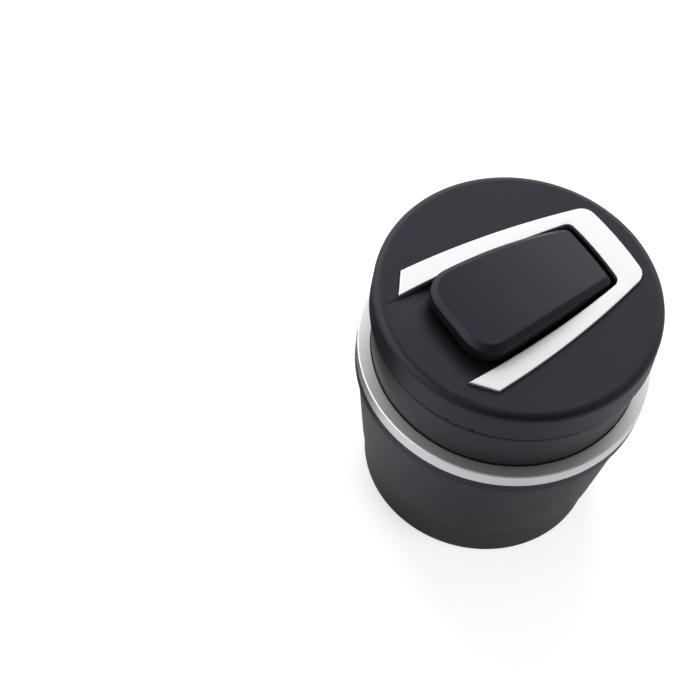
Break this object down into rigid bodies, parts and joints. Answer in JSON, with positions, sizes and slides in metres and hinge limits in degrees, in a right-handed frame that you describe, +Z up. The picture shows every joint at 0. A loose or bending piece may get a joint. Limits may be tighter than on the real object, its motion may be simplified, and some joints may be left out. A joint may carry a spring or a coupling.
{
  "type": "car ashtray",
  "caption": "Round black car ashtray: a lidded ash container with a raised pull grip in a silver bracket lifts out of a tapered outer cup with a silver rim ring.",
  "frame": {"origin": "middle of the outer cup's underside, where it stands", "axes": "+Z up along the cup's axis, +Y towards the lid's hinge and the bracket's closed end, +X to the right seen from the grip's thick end"},
  "size_m": [0.085, 0.085, 0.0927],
  "materials": {
    "cup_black": "satin moulded black outside, smoother inside",
    "satin_silver": "satin silver plating",
    "textured_black": "finely textured matt black",
    "grip_black": "soft matt black",
    "stainless": "pressed stainless sheet",
    "steel": "zinc-plated steel",
    "black_rubber": "matt rubber"
  },
  "bodies": {
    "cup": {"outer_cup": "cup_black", "trim_ring": "satin_silver"},
    "container": {"ash_container": "textured_black", "ash_insert": "stainless", "hinge_pin": "steel"},
    "lid": {"lid_shell": "textured_black", "lid_liner": "stainless", "liner_screws": "steel", "lid_seal": "black_rubber", "trim_bracket": "satin_silver", "grip_base": "grip_black", "grip_cover": "grip_black", "grip_screws": "steel"}
  },
  "joints": [
    {"name": "container_lift", "type": "slide", "parent": "cup", "child": "container", "axis": [0, 0, 1], "range_m": [0, 0.055]},
    {"name": "lid_hinge", "type": "hinge", "parent": "container", "child": "lid", "pos_m": [0, 0.0406, 0.0752], "axis": [-1, 0, 0], "range_deg": [0, 95]}
  ]
}
